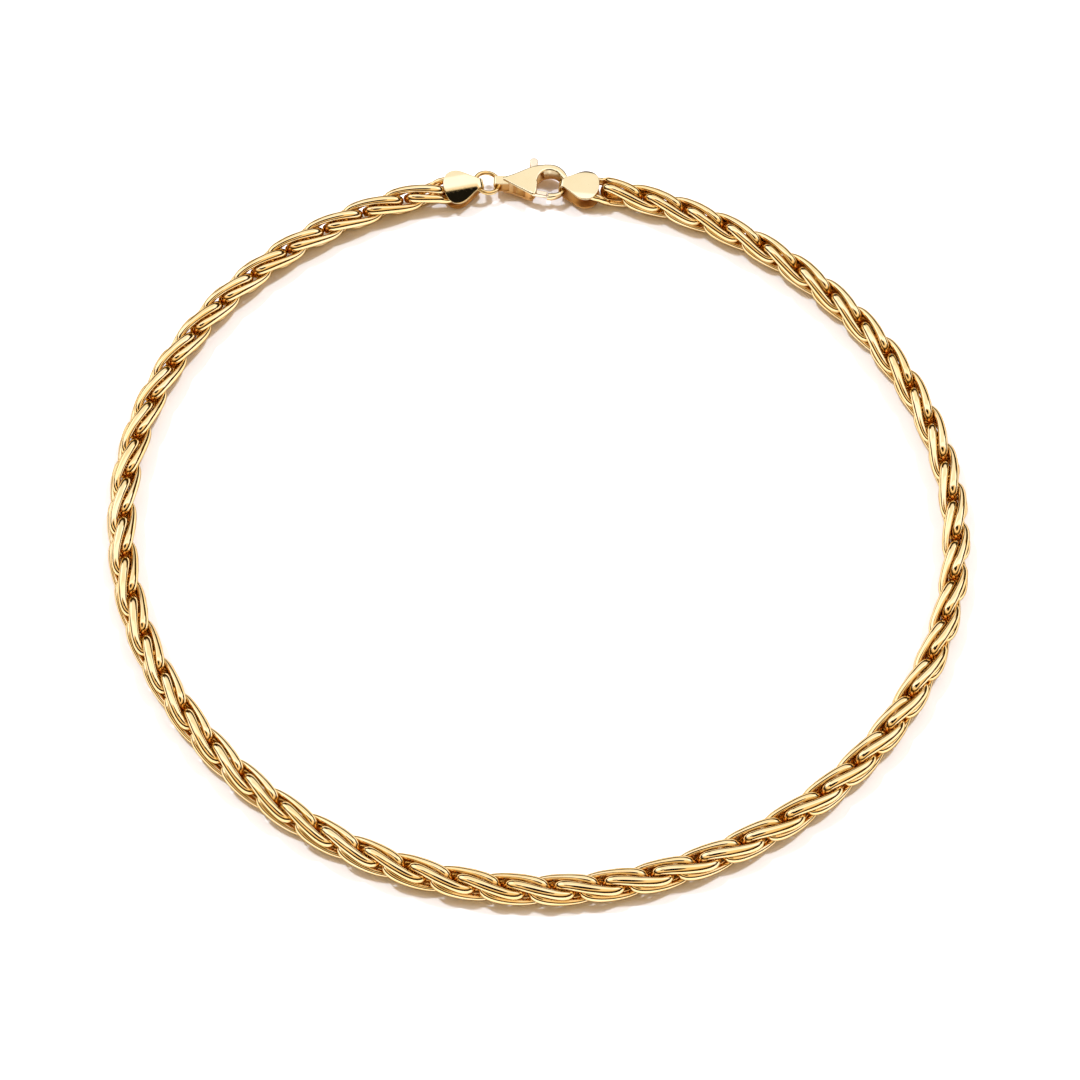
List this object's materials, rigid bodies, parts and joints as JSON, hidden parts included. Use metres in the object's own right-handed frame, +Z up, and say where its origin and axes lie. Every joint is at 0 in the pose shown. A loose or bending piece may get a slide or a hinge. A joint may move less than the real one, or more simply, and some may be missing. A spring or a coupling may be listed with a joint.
{
  "type": "necklace",
  "caption": "Polished gold wheat-link chain necklace lying closed, with two teardrop end caps, a jump ring and a lobster clasp whose sprung lever opens into the hook",
  "frame": {"origin": "centre of the necklace's box in plan, on the surface it lies on", "axes": "+Z up from the surface, +Y towards the clasp, +X to the right seen from above"},
  "size_m": [0.1496, 0.1506, 0.0051],
  "materials": {
    "chain_gold": "polished yellow gold, slightly worn on the outside of the links",
    "fitting_gold": "polished yellow gold sheet",
    "ring_gold": "polished yellow gold round wire",
    "lever_gold": "polished paler gold"
  },
  "bodies": {
    "necklace": {"chain_left": "chain_gold", "chain_right": "chain_gold", "end_cap_left": "fitting_gold", "end_cap_right": "fitting_gold", "jump_ring": "ring_gold", "clasp_body": "fitting_gold"},
    "lever": {"clasp_lever": "lever_gold"}
  },
  "joints": [
    {"name": "lever_hinge", "type": "hinge", "parent": "necklace", "child": "lever", "pos_m": [-0.00167, 0.06813, 0.00245], "axis": [0, 0, 1], "range_deg": [0, 26], "stiffness_Nm_per_rad": 0.004}
  ]
}
